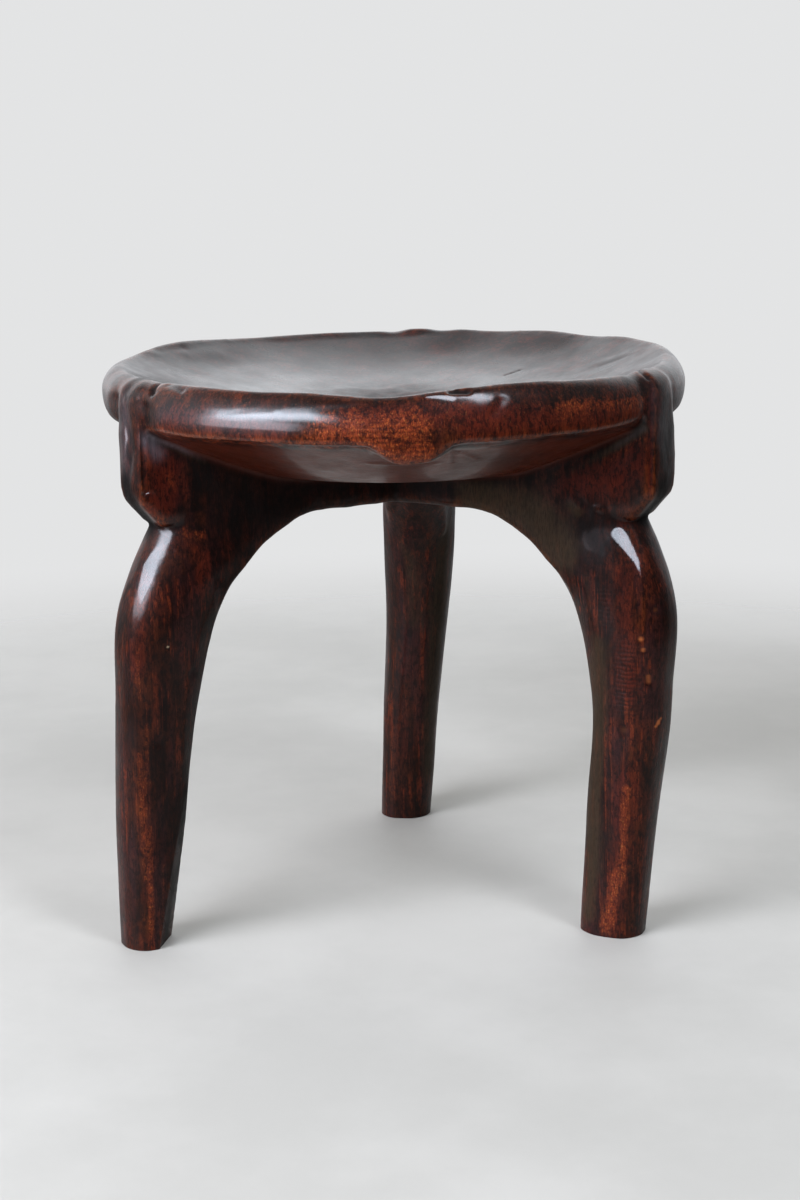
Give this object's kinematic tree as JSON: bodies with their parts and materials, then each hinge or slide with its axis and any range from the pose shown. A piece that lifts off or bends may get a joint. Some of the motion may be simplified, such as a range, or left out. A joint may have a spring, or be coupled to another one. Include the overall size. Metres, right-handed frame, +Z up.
{
  "type": "three-legged stool",
  "caption": "Low round stool with a dished seat on three arms with notched shoulders and bowed tapering legs, carved in dark polished wood.",
  "frame": {"origin": "on the floor under the middle of the stool's outline, about 3 mm behind the seat axis", "axes": "+Z up; -Y is the front, where the tongue hangs from the rim between the two front legs; +X is to the right seen from the front"},
  "size_m": [0.32, 0.3258, 0.311],
  "materials": {
    "dark_polished_wood": "oiled and polished dark red-brown hardwood, worn orange-brown on the edges, glossy"
  },
  "bodies": {
    "root": {"seat": "dark_polished_wood", "rear_arm": "dark_polished_wood", "rear_leg": "dark_polished_wood", "front_left_arm": "dark_polished_wood", "front_left_leg": "dark_polished_wood", "front_right_arm": "dark_polished_wood", "front_right_leg": "dark_polished_wood"}
  },
  "joints": []
}
